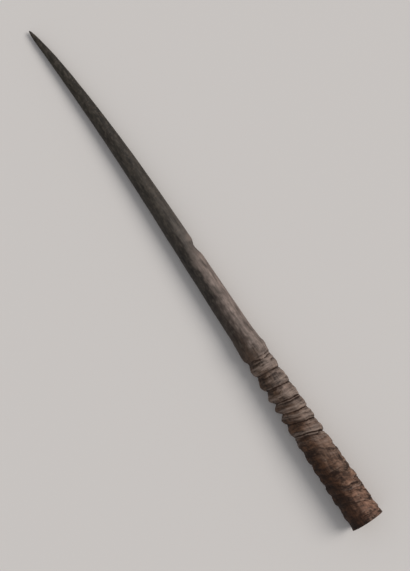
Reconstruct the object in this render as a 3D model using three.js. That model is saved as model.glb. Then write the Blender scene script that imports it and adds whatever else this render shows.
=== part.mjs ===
// A gemsbok horn, cut off flat at the hairline and lying on its side: one hollow sheath of keratin.
// Millimetres, +Z up. X runs along the horn, from the cut base at the low end to the tip at the high end.
// The front of the horn faces -Y, and the surface that it lies on is Z = 0.

import * as THREE from "three";
import { mergeVertices } from "three/addons/utils/BufferGeometryUtils.js";

// Driving dimensions
const LENGTH = 850; // cut base to tip
const SHAFT_RADIUS = 21.75; // the smooth taper of the upper shaft, carried down to the base
const TAPER_POWER = 0.45; // the shaft thickens with this power of the distance from the tip
const RING_SWELLING = 3.5; // what the ring crests add to the shaft's radius at the base
const SWELLING_POWER = 0.4;
const SWOLLEN_SHARE = 0.37; // share of the length, from the base, that is swollen by the rings
const SIDE_TO_SIDE = 0.94; // thickness from side to side over the width from front to back

// Growth rings
const RING_COUNT = 15; // the last one only swells the shaft a little
const FIRST_PITCH = 17.85; // height of the lowest ring
const PITCH_GROWTH = 0.34; // each ring is this much higher than the one below it
const PITCH_UNEVENNESS = 3; // a ring's start is moved up or down by up to this
const LOW_RING_DEPTH = 1.6; // groove below crest, near the base
const HIGH_RING_DEPTH = 4; // and in the bold rings
const FAINT_RING_DEPTH = 0.3; // and where the rings have faded out
const LOW_RINGS = 7.1; // rings from this number on get bolder
const RISING_RINGS = 0.9;
const BOLD_RINGS = 13.6; // and rings from this number on fade
const FADING_RINGS = 0.9;
const CREST_SHARE = 0.38; // a crest lies this far up its ring, so that its base side is the steeper one
const FRONT_POWER = 0.65; // the rings are full and round on the front
const BACK_POWER = 1.5; // and narrower on the back
const RING_SLANT = THREE.MathUtils.degToRad(17); // the rings run lower on the front
const SLANT_START = 30; // the slant has grown from the flat cut to its full size here
const SLANT_FADE = 110; // gets less from here on
const SLANT_END = 330; // and is gone here

// Waves round the horn: size, how many of them, and the height over which they turn on by one radian
const WAVER = [
  [1.2, 1, 21],
  [0.9, 2, -17],
]; // moves a ring up and down, by so many millimetres
const UNEVENNESS = [
  [0.2, 1, 29],
  [0.14, 3, -41],
]; // makes a ring's groove deeper and shallower, by such shares of its depth

// How the horn bends in its own plane: share of the length from the base, and offset to the back
const BEND = [
  [0, 0],
  [0.25, 1.5],
  [0.45, 1.6],
  [0.6, 0.8],
  [0.7, 0.9],
  [0.85, 4.8],
  [0.94, 9.7],
  [1, 15.2],
];

// A chip out of the front, where the outer layer has flaked away
const CHIP_AT = 460; // from the base
const CHIP_DEPTH = 3.4;
const CHIP_BASE_SIDE = 20; // length of its side towards the base
const CHIP_TIP_SIDE = 11; // and of its side towards the tip
const CHIP_ANGLE = THREE.MathUtils.degToRad(168); // round the horn from the back, over the upper side

// The hollow that the bone core filled
const WALL = 6; // at the rim, which is cut through a crest
const HOLLOW_DEPTH = 260;
const HOLLOW_POWER = 1.4; // how the hollow narrows to its end

// The lying horn touches the surface with its rim and with its upper shaft: shares of the length
const TOUCHES = [0, 0.8];
const TOUCH_REACH = 0.06;
const CLEARANCE = 0.5; // of the underside between them

// Faceting
const SIDES = 32; // a flat one of them faces down, so that the horn doesn't roll
const RING_STEPS = [0, 0.04, 0.14, CREST_SHARE, 0.7, 0.92]; // rows across each ring, from its lower groove
const PLAIN_ROWS = 5; // between the rings and the chip
const SHAFT_ROWS = 18; // from the chip to the tip
const HOLLOW_ROWS = 7;

const { clamp, lerp, smoothstep } = THREE.MathUtils;

// Radius over the ring crests, at a height from the cut base.
function crestRadius(height) {
  const toTip = clamp(1 - height / LENGTH, 0, 1);
  const swollen = Math.max(0, (toTip - 1 + SWOLLEN_SHARE) / SWOLLEN_SHARE);
  return SHAFT_RADIUS * toTip ** TAPER_POWER + RING_SWELLING * swollen ** SWELLING_POWER;
}

// Height of the groove below a ring: the heights of the rings below it, added up from the cut crest.
function ringStart(ring) {
  const even = (ring - CREST_SHARE) * FIRST_PITCH + (PITCH_GROWTH * ring * (ring - 1)) / 2;
  return even + PITCH_UNEVENNESS * Math.sin(1.1 * ring - 1.6);
}

// Depth of the grooves at a ring number, with the share of that ring as its decimals.
function ringDepth(ring) {
  const bold = lerp(LOW_RING_DEPTH, HIGH_RING_DEPTH, smoothstep(ring, LOW_RINGS, LOW_RINGS + RISING_RINGS));
  return lerp(bold, FAINT_RING_DEPTH, smoothstep(ring, BOLD_RINGS, BOLD_RINGS + FADING_RINGS));
}

// How far the surface lies below the crests, at a share of a ring's height.
function grooveDepth({ ring, share }, angle) {
  const toHalf = Math.log(0.5) / Math.log(CREST_SHARE); // brings the crest to the middle of the sine
  const back = (1 + Math.cos(angle)) / 2;
  const lip = Math.sin(Math.PI * share ** toHalf) ** lerp(FRONT_POWER, BACK_POWER, back);
  return ringDepth(ring + share) * (1 - lip);
}

function waves(list, height, angle) {
  return list.reduce((sum, [size, count, turn]) => sum + size * Math.sin(count * angle + height / turn), 0);
}

function chipDepth(height, angle) {
  const side = height < CHIP_AT ? CHIP_BASE_SIDE : CHIP_TIP_SIDE;
  const along = Math.max(0, 1 - Math.abs(height - CHIP_AT) / side);
  const round = Math.max(0, Math.cos(angle - CHIP_ANGLE));
  return CHIP_DEPTH * smoothstep(along, 0, 1) * round ** 2;
}

function hollowRadius(height) {
  const mouth = crestRadius(0) - WALL;
  return mouth * (1 - (height / HOLLOW_DEPTH) ** HOLLOW_POWER);
}

// The rows of the outer surface, from the cut crest of the lowest ring to just below the tip.
function outerRows() {
  const rows = [{ height: 0, ring: 0, share: CREST_SHARE }];
  for (let ring = 0; ring < RING_COUNT; ring++) {
    const start = ringStart(ring);
    const pitch = ringStart(ring + 1) - start;
    for (const share of RING_STEPS) {
      const height = start + share * pitch;
      if (height > 1) rows.push({ height, ring, share });
    }
  }
  for (let row = 0; row < PLAIN_ROWS; row++) {
    rows.push({ height: lerp(ringStart(RING_COUNT), CHIP_AT - CHIP_BASE_SIDE, row / PLAIN_ROWS) });
  }
  for (const part of [-1, -0.5]) {
    rows.push({ height: CHIP_AT + part * CHIP_BASE_SIDE });
  }
  for (const part of [0, 0.5]) {
    rows.push({ height: CHIP_AT + part * CHIP_TIP_SIDE });
  }
  for (let row = 0; row < SHAFT_ROWS; row++) {
    const along = Math.sin((Math.PI / 2) * (row / SHAFT_ROWS)); // closer together near the tip
    rows.push({ height: lerp(CHIP_AT + CHIP_TIP_SIDE, LENGTH, along) });
  }
  return rows;
}

// The half section that is turned round the axis: out along the hollow, over the rim and up the outside.
function halfSection(rows) {
  const section = [];
  for (let row = 0; row <= HOLLOW_ROWS; row++) {
    const height = HOLLOW_DEPTH * (1 - row / HOLLOW_ROWS);
    section.push(new THREE.Vector2(hollowRadius(height), height));
  }
  for (const { height } of rows) {
    section.push(new THREE.Vector2(crestRadius(height), height));
  }
  section.push(new THREE.Vector2(0, LENGTH));
  return section;
}

const bendCurve = new THREE.CatmullRomCurve3(
  BEND.map(([share, offset]) => new THREE.Vector3(share * LENGTH, offset, 0)),
);

// The bend's offset at a height: the curve is read where its X is that height.
function bendOffset(height) {
  let low = 0;
  let high = 1;
  for (let halving = 0; halving < 30; halving++) {
    const middle = (low + high) / 2;
    if (bendCurve.getPoint(middle).x < height) low = middle;
    else high = middle;
  }
  return bendCurve.getPoint(low).y;
}

// Height of the axis over the surface. It follows the taper, and runs straight on past the last touch.
function axisHeight(height) {
  const followed = Math.min(height, TOUCHES.at(-1) * LENGTH);
  const slope = (crestRadius(followed + 1) - crestRadius(followed - 1)) / 2;
  const touching = TOUCHES.map((share) => Math.exp(-(((followed / LENGTH - share) / TOUCH_REACH) ** 2)));
  const clear = CLEARANCE * (1 - Math.max(...touching));
  return SIDE_TO_SIDE * (crestRadius(followed) + slope * (height - followed)) + clear;
}

// The slant grows from the flat cut, is full at the middle of the rings and is gone above them.
function slantShare(height) {
  const grown = smoothstep(height, 0, SLANT_START);
  const gone = smoothstep(height, SLANT_FADE, SLANT_END);
  return grown * (1 - gone);
}

// Moves a turned point to its place on the lying horn.
function lay(radius, angle, height, slant) {
  const across = radius * Math.cos(angle);
  const up = SIDE_TO_SIDE * radius * Math.sin(angle);
  const along = height + slant * (Math.tan(RING_SLANT) * across + waves(WAVER, height, angle));
  return new THREE.Vector3(along, bendOffset(height) + across, axisHeight(height) + up);
}

// Coincident points become one, and the faces that this leaves with no area are dropped.
function closed(geometry) {
  geometry.deleteAttribute("normal");
  geometry.deleteAttribute("uv");
  const merged = mergeVertices(geometry, 1e-3);
  const corners = Array.from(merged.index.array);
  const kept = [];
  for (let face = 0; face < corners.length; face += 3) {
    const [a, b, c] = corners.slice(face, face + 3);
    if (a !== b && b !== c && a !== c) kept.push(a, b, c);
  }
  merged.setIndex(kept);
  merged.computeVertexNormals();
  return merged;
}

function hornGeometry() {
  const rows = outerRows();
  const section = halfSection(rows);
  const hollowPoints = HOLLOW_ROWS + 1;
  const turned = new THREE.LatheGeometry(section, SIDES, Math.PI / SIDES);
  const points = turned.getAttribute("position");
  for (let i = 0; i < points.count; i++) {
    const height = points.getY(i);
    const angle = Math.atan2(points.getX(i), points.getZ(i));
    let radius = Math.hypot(points.getX(i), points.getZ(i));
    const row = rows[(i % section.length) - hollowPoints];
    if (row) radius -= chipDepth(height, angle);
    if (row?.ring !== undefined) radius -= grooveDepth(row, angle) * (1 + waves(UNEVENNESS, height, angle));
    const place = lay(radius, angle, height, row ? slantShare(height) : 0);
    points.setXYZ(i, place.x, place.y, place.z);
  }
  const geometry = closed(turned);
  geometry.computeBoundingBox();
  const { min, max } = geometry.boundingBox;
  return geometry.translate(-(min.x + max.x) / 2, -(min.y + max.y) / 2, -min.z);
}

const keratin = new THREE.MeshStandardMaterial({ color: 0x4a4039, roughness: 0.55, metalness: 0 });

const horn = new THREE.Mesh(hornGeometry(), keratin);
horn.name = "horn";

const part = new THREE.Group();
part.add(horn);

export default part;
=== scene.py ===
"""A gemsbok horn lying on its side: a long keratin sheath with slanted growth rings and a hollow, cut base.

Lengths are in metres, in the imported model's frame: X runs from the cut base to the tip, the front of the horn
faces -Y, and the floor is Z = 0. A height is a distance from the cut base, before the rings' slant moves a
point along the horn. An angle runs round the horn from its back, over its upper side, to its front.
"""

import math

import bpy
import numpy as np
from mathutils import Matrix, Vector, noise


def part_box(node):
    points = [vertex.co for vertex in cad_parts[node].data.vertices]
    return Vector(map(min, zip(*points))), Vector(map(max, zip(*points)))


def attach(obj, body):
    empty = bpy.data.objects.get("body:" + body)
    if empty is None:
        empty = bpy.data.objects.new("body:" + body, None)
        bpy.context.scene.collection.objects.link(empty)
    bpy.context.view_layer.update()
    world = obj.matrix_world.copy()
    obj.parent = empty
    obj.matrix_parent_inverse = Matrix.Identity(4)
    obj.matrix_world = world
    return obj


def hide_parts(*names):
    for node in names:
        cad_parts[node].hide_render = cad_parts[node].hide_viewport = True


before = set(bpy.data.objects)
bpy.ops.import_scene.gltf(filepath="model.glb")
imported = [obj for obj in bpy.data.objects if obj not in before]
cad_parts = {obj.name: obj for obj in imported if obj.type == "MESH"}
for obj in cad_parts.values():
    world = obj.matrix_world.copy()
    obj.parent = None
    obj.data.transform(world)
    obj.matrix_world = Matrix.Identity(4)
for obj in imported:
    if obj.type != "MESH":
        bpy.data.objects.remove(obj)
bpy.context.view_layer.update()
horn_low, horn_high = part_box("horn")

MM = 0.001

# Shape of the horn, as in the solid
LENGTH = horn_high.x - horn_low.x
SHAFT_RADIUS = 21.75 * MM  # the smooth taper of the upper shaft, carried down to the base
TAPER_POWER = 0.45  # the shaft thickens with this power of the distance from the tip
RING_SWELLING = 3.5 * MM  # what the ring crests add at the base
SWELLING_POWER = 0.4
SWOLLEN_SHARE = 0.37  # share of the length, from the base, that the rings swell
SIDE_TO_SIDE = 0.94  # thickness over width

RING_COUNT = 15  # the last one only swells the shaft a little
FIRST_PITCH = 17.85 * MM  # height of the lowest ring
PITCH_GROWTH = 0.34 * MM  # each ring is this much higher than the one below it
PITCH_UNEVENNESS = 3 * MM  # a ring's start is moved up or down by up to this
PITCH_TURN = 1.1  # in a wave that turns on by this angle from ring to ring
PITCH_TURN_START = -1.6
LOW_RING_DEPTH = 1.6 * MM  # groove below crest, near the base
HIGH_RING_DEPTH = 4 * MM  # and in the bold rings
FAINT_RING_DEPTH = 0.3 * MM  # and where the rings have faded out
LOW_RINGS = 7.1  # rings from this number on get bolder
RISING_RINGS = 0.9
BOLD_RINGS = 13.6  # and rings from this number on fade
FADING_RINGS = 0.9
CREST_SHARE = 0.38  # a crest lies this far up its ring, so that its base side is the steeper one
FRONT_POWER = 0.65  # full lips in front
BACK_POWER = 1.5  # thinner ones at the back
RING_SLANT = math.radians(17)  # the rings run lower on the front
SLANT_START = 30 * MM  # the slant has grown from the flat cut to its full size here
SLANT_FADE = 110 * MM  # gets less from here on
SLANT_END = 330 * MM  # and is gone here

# Waves round the horn: size, how many of them, and the millimetres of height that turn them by one radian
WAVER = ((1.2, 1, 21), (0.9, 2, -17))  # moves a ring up and down, by so many millimetres
UNEVENNESS = ((0.2, 1, 29), (0.14, 3, -41))  # makes its groove deeper and shallower, by such shares

BEND_SHARES = (0, 0.25, 0.45, 0.6, 0.7, 0.85, 0.94, 1)  # of the length, from the base
BEND_OFFSETS = (0, 1.5, 1.6, 0.8, 0.9, 4.8, 9.7, 15.2)  # to the back, in millimetres

CHIP_AT = 460 * MM  # a chip out of the front
CHIP_DEPTH = 3.4 * MM
CHIP_BASE_SIDE = 20 * MM
CHIP_TIP_SIDE = 11 * MM
CHIP_ANGLE = math.radians(168)

WALL = 6 * MM  # at the rim
HOLLOW_DEPTH = 260 * MM
HOLLOW_POWER = 1.4  # how the hollow narrows to its end

TOUCHES = (0, 0.8)  # where the underside touches the floor, as shares of the length
TOUCH_REACH = 0.06
CLEARANCE = 0.5 * MM  # of the underside between them

# Fine relief
LEDGE_DEPTH = 1.1 * MM  # of the lesser lips on each ring
LOW_LEDGES = 2  # of them on a low ring
BOLD_LEDGES = 3  # and on a bold one
LEDGE_SWAY = 0.4  # how far the lips sway round the horn, as a share of the way to the next one
LEDGE_SWAY_TURN = 1.9  # angle by which that sway turns on from ring to ring
LEDGE_STRAY = 0.5  # and how far they stray at random
LAST_LIP_AT = 292 * MM  # a low lip above the last groove
LAST_LIP_HEIGHT = 1.6 * MM  # in front
LAST_LIP_BACK = 0.4  # share of that at the back; it dies out on the underside
LAST_LIP_REACH = 11 * MM
WANDER = 1.3 * MM  # how far a ring's lip strays in small waves
GROOVE_STRAY = 0.5  # share of a groove's depth that comes and goes at random
RIPPLE_DEPTH = 0.5 * MM  # growth lines
FINE_RIPPLES = 0.6  # share of that in the finer lines between them
LUMP_DEPTH = 0.5 * MM
FIBRE_DEPTH = 0.16 * MM
SMOOTH_SHARE = 0.5  # share of the lumps and fibres on the smooth shaft
FLAKE_DEPTH = 0.45 * MM  # where a thin plate has come off
PIT_DEPTH = 0.6 * MM
PIT_END = 160 * MM  # pits lie below this height
PLAIN_EDGE = 4 * MM  # height of the plain strip at the cut edge
PLAIN_RADIUS = 8 * MM  # the tip and the hollow's end get plain where their radius is less than this
RIDGE_DEPTH = 0.3 * MM  # on the wall of the hollow
PLAIN_MOUTH = 10 * MM  # depth of the plain strip at the hollow's mouth

# Random lumps: size along the horn and size across it, in millimetres, and a seed
RIPPLE_GRAIN = (5, 40, 3.1)
FINE_RIPPLE_GRAIN = (2.6, 18, 17.3)
LUMP_GRAIN = (24, 16, 29.7)
FIBRE_GRAIN = (40, 2.4, 41.9)
FLAKE_GRAIN = (8, 7, 53.3)
PIT_GRAIN = (4, 5, 67.1)
WANDER_GRAIN = (40, 8, 71.7)
RIDGE_GRAIN = (70, 3, 83.9)
GROOVE_GRAIN = (16, 20, 97.3)
LEDGE_GRAIN = (30, 14, 113.9)
LEDGE_BREAK_GRAIN = (14, 12, 127.1)

# Values between which a mark comes in or goes out
FLAKE_EDGE = (0.3, 0.4)  # of the flakes' random lumps
PIT_EDGE = (0.34, 0.55)  # of the pits'
BREAK_EDGE = (-0.4, 0.4)  # of the lumps that break the lesser lips up
LIP_START = (0, 0.15)  # the dusty lip of a bold ring, in shares of the ring's height
LIP_END = (0.35, 0.7)
FOOT_END = (0.02, 0.08)  # the foot of a bold ring, darkened with dirt and painted shade
FOOT_START = (0.93, 0.99)  # which starts at the top of the ring below it
UNDER_LEDGE = (0.6, 0.95)  # of the way from one lesser lip to the next
BAND_TURNS = (4.7, 8.3)  # angles that set the shade of each lesser lip and of each ring
CAVITY_REACH = 5  # points on either side that a hollow in the surface is measured against

# Fineness of the mesh
SIDES = 168
ROWS_PER_RING = 28
GROOVE_CROWDING = 0.1  # moves a ring's rows towards its grooves
CHIP_ROWS = 56
SHAFT_ROWS = 80
HOLLOW_ROWS = 30
RIM_SHARES = (0.06, 0.5, 0.94)  # rows across the cut face, from the hollow outwards

# Numbers of the finishes, in the order of the mesh's materials
SKIN, CUT, HOLLOW = range(3)

# The picture
PHOTO_TIP = (64, 15)  # ends of the horn in the photograph, in pixels
PHOTO_BASE = (262, 302)
LOOK_DOWN = math.radians(87)
LENS = 110
SENSOR = 36
FRAME_FILL = 0.86  # share of the picture's height between the ends of the horn
AIM_SHARE = 0.475  # the camera looks at this share of the horn's length, from the base
FLOOR_REACH = 8  # metres from the middle to each side

KEY_TURN = math.radians(18)  # the key light stands this far up from the picture's right
KEY_ELEVATION = math.radians(46)
KEY_SOFTNESS = math.radians(36)  # how wide the light looks from the horn
KEY_STRENGTH = 1.9
SKY_STRENGTH = 0.45


def smoothstep(value, low, high):
    """0 below low, 1 above high, and a smooth rise between them."""
    share = np.clip((value - low) / (high - low), 0, 1)
    return share * share * (3 - 2 * share)


def mix(low, high, share):
    """Runs from low to high as the share runs from 0 to 1."""
    return low + (high - low) * share


def crest_radius(height):
    """Radius over the ring crests."""
    to_tip = np.clip(1 - height / LENGTH, 0, 1)
    swollen = np.maximum(0, (to_tip - 1 + SWOLLEN_SHARE) / SWOLLEN_SHARE)
    return SHAFT_RADIUS * to_tip**TAPER_POWER + RING_SWELLING * swollen**SWELLING_POWER


def ring_start(ring):
    """Height of the groove below a ring. The cut goes through the crest of the lowest one."""
    even = (ring - CREST_SHARE) * FIRST_PITCH + PITCH_GROWTH * ring * (ring - 1) / 2
    return even + PITCH_UNEVENNESS * np.sin(PITCH_TURN * ring + PITCH_TURN_START)


def ring_depth(ring):
    """Depth of the grooves at a ring number, with the share of that ring as its decimals."""
    bold = mix(LOW_RING_DEPTH, HIGH_RING_DEPTH, smoothstep(ring, LOW_RINGS, LOW_RINGS + RISING_RINGS))
    return mix(bold, FAINT_RING_DEPTH, smoothstep(ring, BOLD_RINGS, BOLD_RINGS + FADING_RINGS))


def to_back(angle):
    """0 on the front of the horn and 1 on its back."""
    return (1 + np.cos(angle)) / 2


def groove_share(share, angle):
    """0 on a ring's crest and 1 in its groove. The crests are round in front and narrow at the back."""
    to_half = math.log(0.5) / math.log(CREST_SHARE)  # brings the crest to the middle of the sine
    power = mix(FRONT_POWER, BACK_POWER, to_back(angle))
    return 1 - np.sin(np.pi * np.clip(share, 0, 1) ** to_half) ** power


def last_lip(height, angle):
    """What the low lip between the rings and the smooth shaft adds to the radius."""
    rise = 1 - smoothstep(np.abs(height - LAST_LIP_AT), 0, LAST_LIP_REACH)
    round_horn = mix(1, LAST_LIP_BACK, to_back(angle)) * smoothstep(np.sin(angle), -1, 0)
    return LAST_LIP_HEIGHT * rise * round_horn


def ledge_place(ring, share, stray):
    """Counts the lesser lips up a ring: whole numbers at the lips, and shares of the way between them."""
    return np.where(ring < LOW_RINGS, LOW_LEDGES, BOLD_LEDGES) * share + stray


def waves(sizes, height, angle):
    """Sum of waves round the horn that turn on with the height."""
    return sum(size * np.sin(count * angle + height / (turn * MM)) for size, count, turn in sizes)


def chip_share(height, angle):
    """1 in the middle of the chip, where the outer layer has flaked away."""
    side = np.where(height < CHIP_AT, CHIP_BASE_SIDE, CHIP_TIP_SIDE)
    along = smoothstep(1 - np.abs(height - CHIP_AT) / side, 0, 1)
    return along * np.maximum(0, np.cos(angle - CHIP_ANGLE)) ** 2


def hollow_radius(height):
    """Radius of the hollow that the bone core filled."""
    mouth = crest_radius(0) - WALL
    return mouth * (1 - (height / HOLLOW_DEPTH) ** HOLLOW_POWER)


def bend_offset(height):
    """A smooth curve through the bend's points."""
    shares = np.array(BEND_SHARES)
    offsets = np.array(BEND_OFFSETS) * MM
    slopes = np.gradient(offsets, shares)
    at = np.clip(height / LENGTH, 0, 1)
    start = np.clip(np.searchsorted(shares, at) - 1, 0, len(shares) - 2)
    run = shares[start + 1] - shares[start]
    t = (at - shares[start]) / run
    from_start = (1 + 2 * t) * (1 - t) ** 2 * offsets[start] + t * (1 - t) ** 2 * run * slopes[start]
    to_end = t**2 * (3 - 2 * t) * offsets[start + 1] + t**2 * (t - 1) * run * slopes[start + 1]
    return from_start + to_end


def axis_height(height):
    """The axis follows the taper down to the floor, and runs straight on past the last touch."""
    followed = np.minimum(height, TOUCHES[-1] * LENGTH)
    slope = (crest_radius(followed + MM) - crest_radius(followed - MM)) / (2 * MM)
    touching = [np.exp(-(((followed / LENGTH - touch) / TOUCH_REACH) ** 2)) for touch in TOUCHES]
    clear = CLEARANCE * (1 - np.max(touching, axis=0))
    return SIDE_TO_SIDE * (crest_radius(followed) + slope * (height - followed)) + clear


def lay(radius, angle, height, slanted, wander=0):
    """Places points of the turned form on the lying horn."""
    grown = smoothstep(height, 0, SLANT_START)
    gone = smoothstep(height, SLANT_FADE, SLANT_END)
    slant = slanted * grown * (1 - gone)
    across = radius * np.cos(angle)
    up = SIDE_TO_SIDE * radius * np.sin(angle)
    stray = waves(WAVER, height, angle) * MM + wander
    along = horn_low.x + height + slant * (math.tan(RING_SLANT) * across + stray)
    return np.stack([along, bend_offset(height) + across, axis_height(height) + up], axis=-1)


def turned(radius, angle, height):
    """Points of the form before it is laid down, with a straight axis: the lumps are grown in these."""
    return np.stack([height + 0 * angle, radius * np.cos(angle), radius * np.sin(angle)], axis=-1)


def grain(points, along, across, seed):
    """Seeded smooth noise from -1 to 1, with lumps of the given sizes in millimetres."""
    sizes = np.array((along, across, across)) * MM
    scaled = points.reshape(-1, 3) / sizes + seed
    values = [noise.noise(point) for point in scaled.tolist()]
    return np.array(values).reshape(points.shape[:-1])


def outer_rows():
    """Height, ring number and share of the ring's height of each row, from the cut to just below the tip."""
    rows = []
    for ring in range(RING_COUNT):
        start = ring_start(ring)
        pitch = ring_start(ring + 1) - start
        for step in range(ROWS_PER_RING):
            even = step / ROWS_PER_RING
            share = even - GROOVE_CROWDING * math.sin(2 * math.pi * even)
            if start + share * pitch > 0:
                rows.append((start + share * pitch, ring, share))
    rows.insert(0, (0, 0, CREST_SHARE))
    rings_end = ring_start(RING_COUNT)
    chip_end = CHIP_AT + 2 * CHIP_TIP_SIDE
    for step in range(CHIP_ROWS):
        rows.append((mix(rings_end, chip_end, step / CHIP_ROWS), RING_COUNT, CREST_SHARE))
    for step in range(SHAFT_ROWS):
        along = math.sin(math.pi / 2 * step / SHAFT_ROWS)  # closer together near the tip
        rows.append((mix(chip_end, LENGTH, along), RING_COUNT, CREST_SHARE))
    return [np.array(column)[:, None] for column in zip(*rows)]


def relief(around, height, ringed):
    """Depth of the fine relief below the main form: growth lines, lumps, fibres, lost flakes and pits."""
    ripples = grain(around, *RIPPLE_GRAIN) + FINE_RIPPLES * grain(around, *FINE_RIPPLE_GRAIN)
    lumps = grain(around, *LUMP_GRAIN)
    fibres = grain(around, *FIBRE_GRAIN)
    flakes = smoothstep(grain(around, *FLAKE_GRAIN), *FLAKE_EDGE)
    pits = smoothstep(grain(around, *PIT_GRAIN), *PIT_EDGE) * (1 - smoothstep(height, PIT_END / 2, PIT_END))
    depth = ringed * (RIPPLE_DEPTH * ripples + FLAKE_DEPTH * flakes + PIT_DEPTH * pits)
    return depth + mix(SMOOTH_SHARE, 1, ringed) * (LUMP_DEPTH * lumps + FIBRE_DEPTH * fibres)


def cavity(radius):
    """How far each point lies below the mean of the points about it, in metres."""
    reach = range(-CAVITY_REACH, CAVITY_REACH + 1)
    padded = np.pad(radius, ((CAVITY_REACH, CAVITY_REACH), (0, 0)), mode="edge")
    along = sum(padded[start:start + len(radius)] for start in range(len(reach))) / len(reach)
    around = sum(np.roll(along, step, axis=1) for step in reach) / len(reach)
    return around - radius


def outer_skin(angle):
    """Points of the outer surface, row by row from the cut rim, and what the finish needs to know of them."""
    height, ring, share = outer_rows()
    crest = crest_radius(height) + 0 * angle
    around = turned(crest, angle, height)
    ringed = 1 - smoothstep(height, ring_start(BOLD_RINGS), ring_start(BOLD_RINGS + 2 * FADING_RINGS))

    # The rings, with lesser lips that stray and break up
    uneven = 1 + waves(UNEVENNESS, height, angle) + GROOVE_STRAY * grain(around, *GROOVE_GRAIN)
    depth = groove_share(share, angle) * ring_depth(ring + share) * uneven
    sway = LEDGE_SWAY * np.sin(angle + LEDGE_SWAY_TURN * ring)
    place = ledge_place(ring, share, sway + LEDGE_STRAY * grain(around, *LEDGE_GRAIN))
    up_ledge = place - np.floor(place)
    broken = ringed * smoothstep(grain(around, *LEDGE_BREAK_GRAIN), *BREAK_EDGE)
    depth = depth + broken * up_ledge * LEDGE_DEPTH

    # The chip and the fine relief
    fine = smoothstep(height, 0, PLAIN_EDGE) * smoothstep(crest, 0, PLAIN_RADIUS)
    depth = depth + chip_share(height, angle) * CHIP_DEPTH + relief(around, height, ringed) * fine
    radius = crest - depth + last_lip(height, angle)

    bold = smoothstep(ring_depth(ring + share), LOW_RING_DEPTH, HIGH_RING_DEPTH)
    ledge_turn, ring_turn = BAND_TURNS
    facts = {
        "height": height,
        "ringed": ringed,
        "front": -np.cos(angle),
        "cavity": cavity(radius),
        "lip": bold * smoothstep(share, *LIP_START) * (1 - smoothstep(share, *LIP_END)),
        "bold": bold,
        # the foot and the strip under each lesser lip get dirt and painted shade
        "foot": bold * (1 - smoothstep(share, *FOOT_END) * (1 - smoothstep(share, *FOOT_START))),
        "under_ledge": broken * smoothstep(up_ledge, *UNDER_LEDGE),
        "band": ringed * np.sin(ledge_turn * np.floor(place) + ring_turn * ring),
    }
    wander = WANDER * ringed * grain(around, *WANDER_GRAIN)
    return lay(radius, angle, height, 1, wander), radius[0], facts


def cut_rim(angle, outer_radius):
    """Points across the flat cut face, from the hollow to the outside."""
    inner_radius = hollow_radius(0)
    rows = [lay(mix(inner_radius, outer_radius, part), angle, np.zeros((1, 1)), 0) for part in RIM_SHARES]
    return np.concatenate(rows)


def hollow_wall(angle):
    """Points of the hollow's wall, from its end out to the rim, with the ridges that the bone core left."""
    height = np.linspace(HOLLOW_DEPTH, 0, HOLLOW_ROWS + 1)[1:, None]
    radius = hollow_radius(height) + 0 * angle
    ridges = grain(turned(radius, angle, height), *RIDGE_GRAIN)
    ridges = ridges * smoothstep(height, 0, PLAIN_MOUTH) * smoothstep(radius, 0, PLAIN_RADIUS)
    return lay(radius + RIDGE_DEPTH * ridges, angle, height, 0)


def skin_faces(row_count):
    """Faces between the rows of points, and the fans that close the hollow's end and the tip, in turn."""
    row, side = np.meshgrid(np.arange(row_count - 1), np.arange(SIDES), indexing="ij")
    beside = (side + 1) % SIDES
    this_row, next_row = row * SIDES, (row + 1) * SIDES
    corners = [this_row + side, this_row + beside, next_row + beside, next_row + side]
    faces = np.stack(corners, axis=-1).reshape(-1, 4).tolist()
    last_row = (row_count - 1) * SIDES
    hollow_end = row_count * SIDES
    tip = hollow_end + 1
    for j in range(SIDES):
        k = (j + 1) % SIDES
        faces.append((hollow_end, k, j))
        faces.append((tip, last_row + j, last_row + k))
    return faces


def face_finishes(face_count, hollow_rows, rim_rows):
    """Number of the finish of each face."""
    finish = np.full(face_count, SKIN)
    rim_start = (hollow_rows - 1) * SIDES
    rim_end = (hollow_rows + rim_rows) * SIDES
    finish[:rim_start] = HOLLOW
    finish[rim_start:rim_end] = CUT
    finish[-2 * SIDES::2] = HOLLOW
    return finish


def horn_piece():
    """The horn's fine mesh: one closed skin from the end of the hollow, over the cut rim, to the tip."""
    angle = (np.arange(SIDES) / SIDES * 2 * math.pi)[None, :]
    outside, edge_radius, facts = outer_skin(angle)
    rim = cut_rim(angle, edge_radius)
    inside = hollow_wall(angle)
    ends = [lay(np.zeros(1), np.zeros(1), np.full(1, height), 0) for height in (HOLLOW_DEPTH, LENGTH)]
    rows = np.concatenate([inside, rim, outside])
    points = np.concatenate([rows.reshape(-1, 3), *ends])
    points[:, 2] -= points[:, 2].min()
    faces = skin_faces(len(rows))

    mesh = bpy.data.meshes.new("horn")
    mesh.from_pydata(points.tolist(), [], faces)
    for material in (weathered_keratin(), sawn_keratin(), bare_keratin()):
        mesh.materials.append(material)
    finish = face_finishes(len(faces), len(inside), len(rim))
    mesh.polygons.foreach_set("material_index", finish)
    mesh.polygons.foreach_set("use_smooth", finish != CUT)

    inner_points = (len(inside) + len(rim)) * SIDES
    for name, values in facts.items():
        on_skin = (values + np.zeros((len(outside), SIDES))).ravel()
        whole = np.concatenate([np.zeros(inner_points), on_skin, [0, on_skin[-1]]])
        mesh.attributes.new(name, "FLOAT", "POINT").data.foreach_set("value", whole)

    piece = bpy.data.objects.new("horn_sheath", mesh)
    bpy.context.scene.collection.objects.link(piece)
    return piece


def linear(hex_colour):
    """An sRGB hex colour as linear RGBA."""
    parts = [int(hex_colour[i:i + 2], 16) / 255 for i in (1, 3, 5)]
    return [p / 12.92 if p <= 0.04045 else ((p + 0.055) / 1.055) ** 2.4 for p in parts] + [1]


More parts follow.
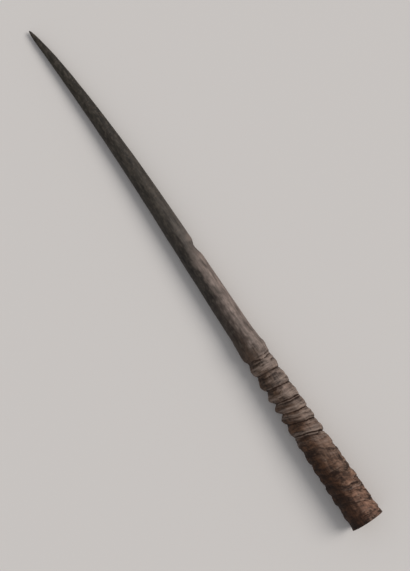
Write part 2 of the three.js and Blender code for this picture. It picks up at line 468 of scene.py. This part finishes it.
def add_node(tree, kind, links, out=None, stops=(), **settings):
    """Adds a node with its settings, its inputs' values or links and its colour stops; gives one output."""
    made = tree.nodes.new(kind)
    for name, value in settings.items():
        setattr(made, name, value)
    for key, value in links.items():
        socket = made.inputs[key] if isinstance(key, int) else next(
            socket for socket in made.inputs if socket.name == key and socket.enabled)
        if isinstance(value, bpy.types.NodeSocket):
            tree.links.new(value, socket)
        else:
            socket.default_value = value
    for index, (place, colour) in enumerate(stops):
        elements = made.color_ramp.elements
        stop = elements[index] if index < 2 else elements.new(place)
        stop.position = place
        stop.color = linear(colour)
    shown = [socket for socket in made.outputs if socket.enabled and out in (None, socket.name)]
    return shown[0] if shown else None


def new_material(name):
    """An empty material and its node tree."""
    material = bpy.data.materials.new(name)
    material.use_nodes = True
    material.node_tree.nodes.clear()
    return material, material.node_tree


def skin_patterns(tree, height):
    """The skin's patterns, laid out by height, so that those across the horn run with the rings."""
    place = add_node(tree, "ShaderNodeTexCoord", {}, "Object")
    parts = add_node(tree, "ShaderNodeSeparateXYZ", {"Vector": place}).node.outputs
    grown = add_node(tree, "ShaderNodeCombineXYZ", {"X": height, "Y": parts["Y"], "Z": parts["Z"]})
    patterns = {}
    for name, along, across, detail in (
        ("blotches", 26, 9, 4),  # blotches, 26 mm long and 9 mm wide
        ("mottle", 8, 12, 3),  # patches, 8 mm high and 12 mm wide, and specks in them
        ("bands", 8, 70, 1),  # pale bands, some 8 mm high, that run with the rings
        ("flecks", 3, 8, 2),  # flecks across the horn, 3 mm high and 8 mm long
        ("specks", 7, 3.5, 2),  # specks on the smooth shaft, 7 mm long and 3.5 mm wide
        ("lines", 2.4, 15, 3),  # growth lines, some 2.4 mm apart, that run with the rings
        ("fibres", 18, 2.4, 3),  # lengthwise fibres, drawn in bundles of 2.4 mm so that they show
    ):
        size = (along * MM, across * MM, across * MM)
        spread = add_node(tree, "ShaderNodeVectorMath", {0: grown, 1: size}, operation="DIVIDE")
        patterns[name] = add_node(tree, "ShaderNodeTexNoise", {
            "Vector": spread, "Scale": 1, "Detail": detail, "Roughness": 0.6})
    return patterns


def worn_and_shade_painted_front(tree, facts, patterns):
    """How far the front is rubbed: in blotches, and not at all at the back. It also splits the painted light
    and shade between the front and the back.
    """
    front = add_node(tree, "ShaderNodeMath", {0: patterns["blotches"], 1: 1.6, 2: facts["front"]},
                     operation="MULTIPLY_ADD")
    front = add_node(tree, "ShaderNodeMath", {0: patterns["mottle"], 1: 0.4, 2: front},
                     operation="MULTIPLY_ADD")
    return add_node(tree, "ShaderNodeMapRange", {"Value": front, "From Min": 0.62, "From Max": 1.6},
                    interpolation_type="SMOOTHSTEP")


def grown_colour(tree, patterns, share, wear_and_side_shade):
    """The back's colour from the base to the tip, and that of the rubbed front, with blotchy limits. Both hold
    painted light and shade: the back is painted darker as shade, warm near the base as bounced light and
    lighter on the upper shaft as fill, and the front of the upper shaft is painted darker to flatten its
    highlight.
    """
    shift = add_node(tree, "ShaderNodeMath", {0: patterns["blotches"], 1: 0.08, 2: -0.04},
                     operation="MULTIPLY_ADD")
    zone = add_node(tree, "ShaderNodeMath", {0: share, 1: shift}, operation="ADD")
    # the back: unworn keratin with painted shade, a warm painted bounce near the base and painted fill on the
    # upper shaft
    unworn_and_shaded_back = add_node(tree, "ShaderNodeValToRGB", {"Fac": zone}, stops=(
        (0.0, "#362217"),
        (0.1, "#392416"),
        (0.2, "#483427"),
        (0.3, "#4C3B2F"),
        (0.38, "#3B312B"),
        (0.46, "#2F2A26"),
        (0.62, "#322E29"),
        (0.8, "#322E28"),
        (1.0, "#312D26"),
    ))
    # the front: rubbed keratin, painted darker near the tip against the lamp's highlight
    rubbed_front_and_painted_light = add_node(tree, "ShaderNodeValToRGB", {"Fac": zone}, stops=(
        (0.0, "#684D40"),
        (0.05, "#6D5244"),
        (0.09, "#624A3C"),
        (0.15, "#635045"),
        (0.2, "#68574D"),
        (0.35, "#71655F"),
        (0.42, "#776A64"),
        (0.52, "#71655F"),
        (0.55, "#4E4844"),
        (0.65, "#3B3631"),
        (0.8, "#272420"),
        (1.0, "#2B2722"),
    ))
    return add_node(tree, "ShaderNodeMix", {"Factor": wear_and_side_shade, "A": unworn_and_shaded_back, "B": rubbed_front_and_painted_light}, data_type="RGBA")


def shaded(tree, facts, patterns, share, colour):
    """Growth lines on the rings, lengthwise streaks, and mottling that is strongest near the base."""
    lined = add_node(tree, "ShaderNodeMapRange", {
        "Value": patterns["lines"], "From Min": 0.34, "From Max": 0.68, "To Min": -0.34, "To Max": 0.34})
    lined = add_node(tree, "ShaderNodeMath", {0: lined, 1: facts["ringed"]}, operation="MULTIPLY")
    streaky = add_node(tree, "ShaderNodeMapRange", {
        "Value": patterns["fibres"], "From Min": 0.3, "From Max": 0.7, "To Min": -0.36, "To Max": 0.36})
    streaky = add_node(tree, "ShaderNodeMath", {0: streaky, 1: lined}, operation="ADD")
    patchy = add_node(tree, "ShaderNodeMapRange", {
        "Value": share, "From Min": 0.1, "From Max": 0.35, "To Min": 2.8, "To Max": 2.4})
    mottled = add_node(tree, "ShaderNodeMix", {
        "Factor": facts["ringed"], "A": patterns["blotches"], "B": patterns["mottle"]})
    mottled = add_node(tree, "ShaderNodeMath", {0: mottled, 1: 0.5}, operation="SUBTRACT")
    mottled = add_node(tree, "ShaderNodeMath", {0: mottled, 1: patchy, 2: streaky}, operation="MULTIPLY_ADD")
    shade = add_node(tree, "ShaderNodeMath", {0: facts["band"], 1: 0.3, 2: mottled}, operation="MULTIPLY_ADD")
    shade = add_node(tree, "ShaderNodeMath", {0: shade, 1: 1.0}, operation="ADD")
    return add_node(tree, "ShaderNodeHueSaturation", {"Value": shade, "Color": colour})


def specked(tree, facts, patterns, colour):
    """Grey-brown specks on the smooth shaft."""
    smooth = add_node(tree, "ShaderNodeMath", {0: 1.0, 1: facts["ringed"]}, operation="SUBTRACT")
    specks = add_node(tree, "ShaderNodeMapRange", {
        "Value": patterns["specks"], "From Min": 0.46, "From Max": 0.72, "To Min": 0.0, "To Max": 0.5},
        interpolation_type="SMOOTHSTEP")
    specks = add_node(tree, "ShaderNodeMath", {0: specks, 1: smooth}, operation="MULTIPLY")
    return add_node(tree, "ShaderNodeMix", {"Factor": specks, "A": colour, "B": linear("#554E46")},
                    data_type="RGBA")


def dusted(tree, facts, patterns, wear_and_side_shade, colour):
    """Dust on the lips of the bold rings, in streaks that run with them; thinner at the back, which is painted
    shade.
    """
    dusty = add_node(tree, "ShaderNodeMath", {0: facts["lip"], 1: 0.12, 2: patterns["bands"]},
                     operation="MULTIPLY_ADD")
    dusty = add_node(tree, "ShaderNodeMapRange", {"Value": dusty, "From Min": 0.42, "From Max": 0.68},
                     interpolation_type="SMOOTHSTEP")
    dusty = add_node(tree, "ShaderNodeMath", {0: dusty, 1: facts["bold"]}, operation="MULTIPLY")
    dust = add_node(tree, "ShaderNodeMapRange", {
        "Value": patterns["lines"], "From Min": 0.36, "From Max": 0.62, "To Min": 0.1, "To Max": 0.75})
    dust = add_node(tree, "ShaderNodeMath", {0: dust, 1: dusty}, operation="MULTIPLY")
    # the dust thinned at the back is painted shade
    back_painted_shade = add_node(tree, "ShaderNodeMapRange", {"Value": wear_and_side_shade, "To Min": 0.75, "To Max": 1.0})
    dust = add_node(tree, "ShaderNodeMath", {0: dust, 1: back_painted_shade}, operation="MULTIPLY")
    return add_node(tree, "ShaderNodeMix", {"Factor": dust, "A": colour, "B": linear("#96867C")},
                    data_type="RGBA")


def flecked(tree, patterns, low, wear_and_side_shade, colour):
    """Pale flecks where the front is worn, most of them on the low rings."""
    flecks = add_node(tree, "ShaderNodeMapRange", {
        "Value": patterns["flecks"], "From Min": 0.58, "From Max": 0.72}, interpolation_type="SMOOTHSTEP")
    flecks = add_node(tree, "ShaderNodeMath", {0: flecks, 1: low}, operation="MULTIPLY")
    flecks = add_node(tree, "ShaderNodeMath", {0: flecks, 1: wear_and_side_shade}, operation="MULTIPLY")
    return add_node(tree, "ShaderNodeMix", {"Factor": flecks, "A": colour, "B": linear("#A08876")},
                    data_type="RGBA")


def rubbed_edges(tree, facts, wear_and_side_shade, colour):
    """Edges that stand out are rubbed pale in front."""
    edges = add_node(tree, "ShaderNodeMapRange", {
        "Value": facts["cavity"], "From Min": -0.1 * MM, "From Max": -0.8 * MM, "To Min": 0.0, "To Max": 0.3},
        interpolation_type="SMOOTHSTEP")
    edges = add_node(tree, "ShaderNodeMath", {0: edges, 1: wear_and_side_shade}, operation="MULTIPLY")
    return add_node(tree, "ShaderNodeMix", {"Factor": edges, "A": colour, "B": linear("#94837A")},
                    data_type="RGBA")


def dirt_and_painted_shade(tree, facts, patterns, low, colour):
    """Dirt under the lips, in the hollows and in patches on the low rings, here thick and there thin; the
    darkening under the lips, in the grooves and in the hollows is painted shade as well as dirt.
    """
    # darker in the hollows of the surface: painted shade and dirt
    dirt_and_shade = add_node(tree, "ShaderNodeMapRange", {
        "Value": facts["cavity"], "From Min": 0.05 * MM, "From Max": 1.0 * MM, "To Min": 0.0, "To Max": 1.0},
        interpolation_type="SMOOTHSTEP")
    dirt_and_shade = add_node(tree, "ShaderNodeMath", {0: dirt_and_shade, 1: facts["ringed"]}, operation="MULTIPLY")
    # darker at each ring's foot and under each lesser lip: painted shade and dirt
    dirt_and_shade = add_node(tree, "ShaderNodeMath", {0: facts["foot"], 1: 0.7, 2: dirt_and_shade}, operation="MULTIPLY_ADD")
    dirt_and_shade = add_node(tree, "ShaderNodeMath", {0: facts["under_ledge"], 1: 0.65, 2: dirt_and_shade},
                    operation="MULTIPLY_ADD")
    grime = add_node(tree, "ShaderNodeMapRange", {
        "Value": patterns["mottle"], "From Min": 0.52, "From Max": 0.36}, interpolation_type="SMOOTHSTEP")
    grime = add_node(tree, "ShaderNodeMath", {0: grime, 1: low}, operation="MULTIPLY")
    dirt_and_shade = add_node(tree, "ShaderNodeMath", {0: grime, 1: 1.5, 2: dirt_and_shade}, operation="MULTIPLY_ADD")
    thick = add_node(tree, "ShaderNodeMapRange", {
        "Value": patterns["blotches"], "From Min": 0.35, "From Max": 0.65, "To Min": 0.6, "To Max": 1.0})
    dirt_and_shade = add_node(tree, "ShaderNodeMath", {0: dirt_and_shade, 1: thick}, operation="MULTIPLY", use_clamp=True)
    return add_node(tree, "ShaderNodeMix", {"Factor": dirt_and_shade, "A": colour, "B": linear("#28170D")},
                    data_type="RGBA")


def weathered_keratin():
    """Horn keratin, grown in layers, then rubbed and weathered.

    The eye gets a matt, dusty skin over the rings, with dirt and painted shade in the grooves, a worn pale
    front above them, a back painted darker as shade, and a closer, darker surface with fine lengthwise fibres
    towards the tip.
    """
    material, tree = new_material("weathered_keratin")
    facts = {
        name: add_node(tree, "ShaderNodeAttribute", {}, "Fac", attribute_name=name)
        for name in ("height", "ringed", "front", "cavity", "bold", "lip", "foot", "under_ledge", "band")
    }
    patterns = skin_patterns(tree, facts["height"])
    share = add_node(tree, "ShaderNodeMath", {0: facts["height"], 1: LENGTH}, operation="DIVIDE")
    low = add_node(tree, "ShaderNodeMapRange", {
        "Value": share, "From Min": 0.12, "From Max": 0.2, "To Min": 0.5, "To Max": 0.1})
    wear_and_side_shade = worn_and_shade_painted_front(tree, facts, patterns)

    colour = grown_colour(tree, patterns, share, wear_and_side_shade)
    colour = shaded(tree, facts, patterns, share, colour)
    colour = specked(tree, facts, patterns, colour)
    colour = dusted(tree, facts, patterns, wear_and_side_shade, colour)
    colour = flecked(tree, patterns, low, wear_and_side_shade, colour)
    colour = rubbed_edges(tree, facts, wear_and_side_shade, colour)
    colour = dirt_and_painted_shade(tree, facts, patterns, low, colour)

    fine = add_node(tree, "ShaderNodeMath", {0: patterns["lines"], 1: patterns["fibres"]}, operation="ADD")
    bump = add_node(tree, "ShaderNodeBump", {"Strength": 0.6, "Distance": 0.2 * MM, "Height": fine})
    roughness = add_node(tree, "ShaderNodeMapRange", {
        "Value": facts["ringed"], "To Min": 0.58, "To Max": 0.72})
    shader = add_node(tree, "ShaderNodeBsdfPrincipled", {
        "Base Color": colour, "Roughness": roughness, "IOR": 1.55, "Specular IOR Level": 0.2, "Normal": bump})
    add_node(tree, "ShaderNodeOutputMaterial", {"Surface": shader})
    return material


def sawn_keratin():
    """Horn keratin cut across with a saw: dull, with the growth layers as rings and the teeth's marks."""
    layer_thickness = 1.5 * MM
    mark_length, mark_width = 30 * MM, 0.9 * MM
    material, tree = new_material("sawn_keratin")
    place = add_node(tree, "ShaderNodeTexCoord", {}, "Object")
    centre = (horn_low.x, 0, float(axis_height(0.0)))
    from_axis = add_node(tree, "ShaderNodeVectorMath", {0: place, 1: centre}, operation="SUBTRACT")
    distance = add_node(tree, "ShaderNodeVectorMath", {0: from_axis}, "Value", operation="LENGTH")
    layer = add_node(tree, "ShaderNodeMath", {0: distance, 1: layer_thickness}, operation="DIVIDE")
    layers = add_node(tree, "ShaderNodeTexNoise", {"W": layer, "Scale": 1, "Detail": 3},
                      noise_dimensions="1D")
    colour = add_node(tree, "ShaderNodeValToRGB", {"Fac": layers}, stops=(
        (0.35, "#5B4A3C"), (0.65, "#8C7A66")))
    marks = add_node(tree, "ShaderNodeVectorMath", {0: place, 1: (1, mark_length, mark_width)},
                     operation="DIVIDE")
    teeth = add_node(tree, "ShaderNodeTexNoise", {"Vector": marks, "Scale": 1, "Detail": 2})
    bump = add_node(tree, "ShaderNodeBump", {"Strength": 0.5, "Distance": 0.15 * MM, "Height": teeth})
    shader = add_node(tree, "ShaderNodeBsdfPrincipled", {
        "Base Color": colour, "Roughness": 0.6, "IOR": 1.55, "Normal": bump})
    add_node(tree, "ShaderNodeOutputMaterial", {"Surface": shader})
    return material


def bare_keratin():
    """Horn keratin that grew on the bone core and never saw wear: yellow-brown, with lengthwise ridges."""
    ridge_length, ridge_width = 60 * MM, 2 * MM
    material, tree = new_material("bare_keratin")
    place = add_node(tree, "ShaderNodeTexCoord", {}, "Object")
    spread = add_node(tree, "ShaderNodeVectorMath", {0: place, 1: (ridge_length, ridge_width, ridge_width)},
                      operation="DIVIDE")
    ridges = add_node(tree, "ShaderNodeTexNoise", {"Vector": spread, "Scale": 1, "Detail": 4})
    colour = add_node(tree, "ShaderNodeValToRGB", {"Fac": ridges}, stops=(
        (0.35, "#6B5640"), (0.68, "#9A8467")))
    bump = add_node(tree, "ShaderNodeBump", {"Strength": 0.5, "Distance": 0.2 * MM, "Height": ridges})
    shader = add_node(tree, "ShaderNodeBsdfPrincipled", {
        "Base Color": colour, "Roughness": 0.65, "IOR": 1.55, "Normal": bump})
    add_node(tree, "ShaderNodeOutputMaterial", {"Surface": shader})
    return material


def rolled_matt_paint():
    """Matt paint, rolled on: pale and even, without gloss."""
    material, tree = new_material("rolled_matt_paint")
    shader = add_node(tree, "ShaderNodeBsdfPrincipled", {"Base Color": linear("#D8D5D3"), "Roughness": 0.9})
    add_node(tree, "ShaderNodeOutputMaterial", {"Surface": shader})
    return material


def matt_floor():
    """The pale floor that the horn lies on."""
    mesh = bpy.data.meshes.new("floor")
    corners = [(x * FLOOR_REACH, y * FLOOR_REACH, 0) for x, y in ((-1, -1), (1, -1), (1, 1), (-1, 1))]
    mesh.from_pydata(corners, [], [(0, 1, 2, 3)])
    mesh.materials.append(rolled_matt_paint())
    floor = bpy.data.objects.new("floor", mesh)
    bpy.context.scene.collection.objects.link(floor)


def horn_ends():
    """Middle of the cut base, and the tip."""
    height = np.array([0, LENGTH])
    base, tip = lay(np.zeros(2), np.zeros(2), height, 0).tolist()
    return Vector(base), Vector(tip)


def picture_directions():
    """Floor directions that run right and up in the picture, so that the horn leans as in the photograph."""
    base, tip = horn_ends()
    right = PHOTO_TIP[0] - PHOTO_BASE[0]
    up = (PHOTO_BASE[1] - PHOTO_TIP[1]) / math.sin(LOOK_DOWN)
    turn = math.atan2(tip.y - base.y, tip.x - base.x) - math.atan2(up, right)
    return Vector((math.cos(turn), math.sin(turn), 0)), Vector((-math.sin(turn), math.cos(turn), 0))


def camera():
    """Looks down on the side of the horn that the photograph shows."""
    base, tip = horn_ends()
    right, up = picture_directions()
    back = Vector((0, 0, math.sin(LOOK_DOWN))) - up * math.cos(LOOK_DOWN)
    lens = bpy.data.cameras.new("camera")
    lens.lens = LENS
    lens.sensor_width = SENSOR
    rise = (tip - base).dot(up) * math.sin(LOOK_DOWN)
    distance = rise / FRAME_FILL * LENS / SENSOR
    stand = bpy.data.objects.new("camera", lens)
    turn = Matrix((right, back.cross(right), back)).transposed().to_4x4()
    stand.matrix_world = Matrix.Translation(base.lerp(tip, AIM_SHARE) + back * distance) @ turn
    bpy.context.scene.collection.objects.link(stand)
    bpy.context.scene.camera = stand


def lights():
    """One wide soft light from the right of the picture, and an even pale sky for the shaded side."""
    right, up = picture_directions()
    lamp = bpy.data.lights.new("key", "SUN")
    lamp.angle = KEY_SOFTNESS
    lamp.energy = KEY_STRENGTH
    lamp.color = linear("#FFFAF4")[:3]
    key = bpy.data.objects.new("key", lamp)
    level = right * math.cos(KEY_TURN) + up * math.sin(KEY_TURN)
    towards = level * math.cos(KEY_ELEVATION) + Vector((0, 0, math.sin(KEY_ELEVATION)))
    key.location = towards
    key.rotation_euler = towards.to_track_quat("Z", "Y").to_euler()
    bpy.context.scene.collection.objects.link(key)
    world = bpy.data.worlds.new("studio")
    world.use_nodes = True
    sky = world.node_tree.nodes["Background"]
    sky.inputs["Color"].default_value = linear("#F1F2F5")
    sky.inputs["Strength"].default_value = SKY_STRENGTH
    bpy.context.scene.world = world
    bpy.context.scene.view_settings.view_transform = "Standard"


camera()
lights()
matt_floor()

horn = horn_piece()
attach(horn, "root")
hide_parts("horn")
